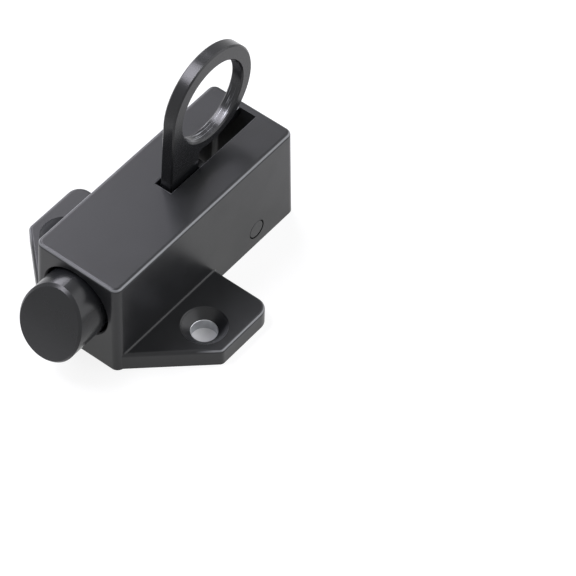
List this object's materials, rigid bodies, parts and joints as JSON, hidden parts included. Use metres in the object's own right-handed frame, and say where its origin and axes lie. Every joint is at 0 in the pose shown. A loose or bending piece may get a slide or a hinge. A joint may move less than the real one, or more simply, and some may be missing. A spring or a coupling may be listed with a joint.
{
  "type": "spring door bolt",
  "caption": "Surface-mounted spring bolt: round bevelled bolt in a block housing with screw ears, drawn back by a lever with a finger ring.",
  "frame": {"origin": "midway between the two screw holes, on the door face under the housing", "axes": "+X the way the bolt shoots, +Y from one screw ear to the other, +Z away from the door"},
  "size_m": [0.0638, 0.0488, 0.049],
  "materials": {
    "housing_coating": "satin",
    "bolt_coating": "satin",
    "lever_coating": "satin",
    "pin_coating": "satin",
    "spring_steel": "bright"
  },
  "bodies": {
    "housing": {"housing": "housing_coating", "pivot_pin": "pin_coating", "return_spring": "spring_steel"},
    "bolt": {"bolt": "bolt_coating"},
    "lever": {"ring_lever": "lever_coating"}
  },
  "joints": [
    {"name": "bolt_slide", "type": "slide", "parent": "housing", "child": "bolt", "axis": [-1, 0, 0], "range_m": [0, 0.0102], "stiffness_N_per_m": 400, "springref_m": -0.002, "deforming": ["return_spring"]},
    {"name": "lever_swing", "type": "hinge", "parent": "housing", "child": "lever", "pos_m": [-0.025, 0, 0.0042], "axis": [0, -1, 0], "range_deg": [0, 42.73]}
  ],
  "couplings": [
    {"joint": "lever_swing", "follows": "bolt_slide", "rad_per_m": 73.116}
  ]
}
